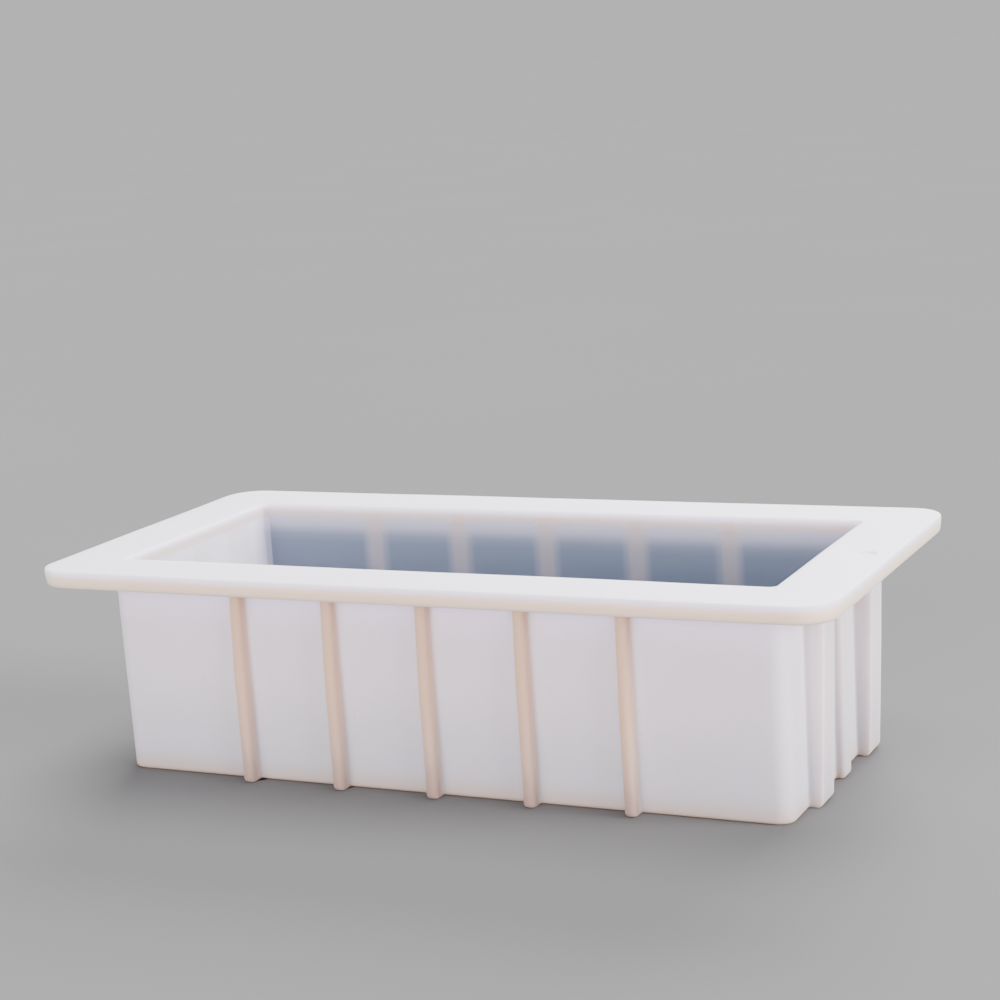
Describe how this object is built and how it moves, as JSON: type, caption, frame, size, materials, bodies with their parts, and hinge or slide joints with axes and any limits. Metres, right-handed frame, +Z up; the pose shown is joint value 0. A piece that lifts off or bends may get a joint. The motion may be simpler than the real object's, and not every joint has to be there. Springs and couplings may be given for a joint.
{
  "type": "silicone loaf soap mould",
  "caption": "Rectangular loaf mould for soap, candle wax or resin: one milky silicone moulding with a wide flat rim, thick drafted walls and stiffening ribs outside.",
  "frame": {"origin": "centre of the underside, on the surface that the mould stands on", "axes": "+Z up, +X along the length towards the end with the moulding mark, +Y across the width towards the back wall"},
  "size_m": [0.3, 0.146, 0.079],
  "materials": {
    "silicone": "satin"
  },
  "bodies": {
    "root": {"floor": "silicone", "front_wall": "silicone", "back_wall": "silicone", "left_wall": "silicone", "right_wall": "silicone", "front_rim": "silicone", "back_rim": "silicone", "left_rim": "silicone", "right_rim": "silicone", "front_rib_1": "silicone", "front_rib_2": "silicone", "front_rib_3": "silicone", "front_rib_4": "silicone", "front_rib_5": "silicone", "back_rib_1": "silicone", "back_rib_2": "silicone", "back_rib_3": "silicone", "back_rib_4": "silicone", "back_rib_5": "silicone", "left_rib_front": "silicone", "left_rib_middle": "silicone", "left_rib_back": "silicone", "right_rib_front": "silicone", "right_rib_middle": "silicone", "right_rib_back": "silicone"}
  },
  "joints": []
}
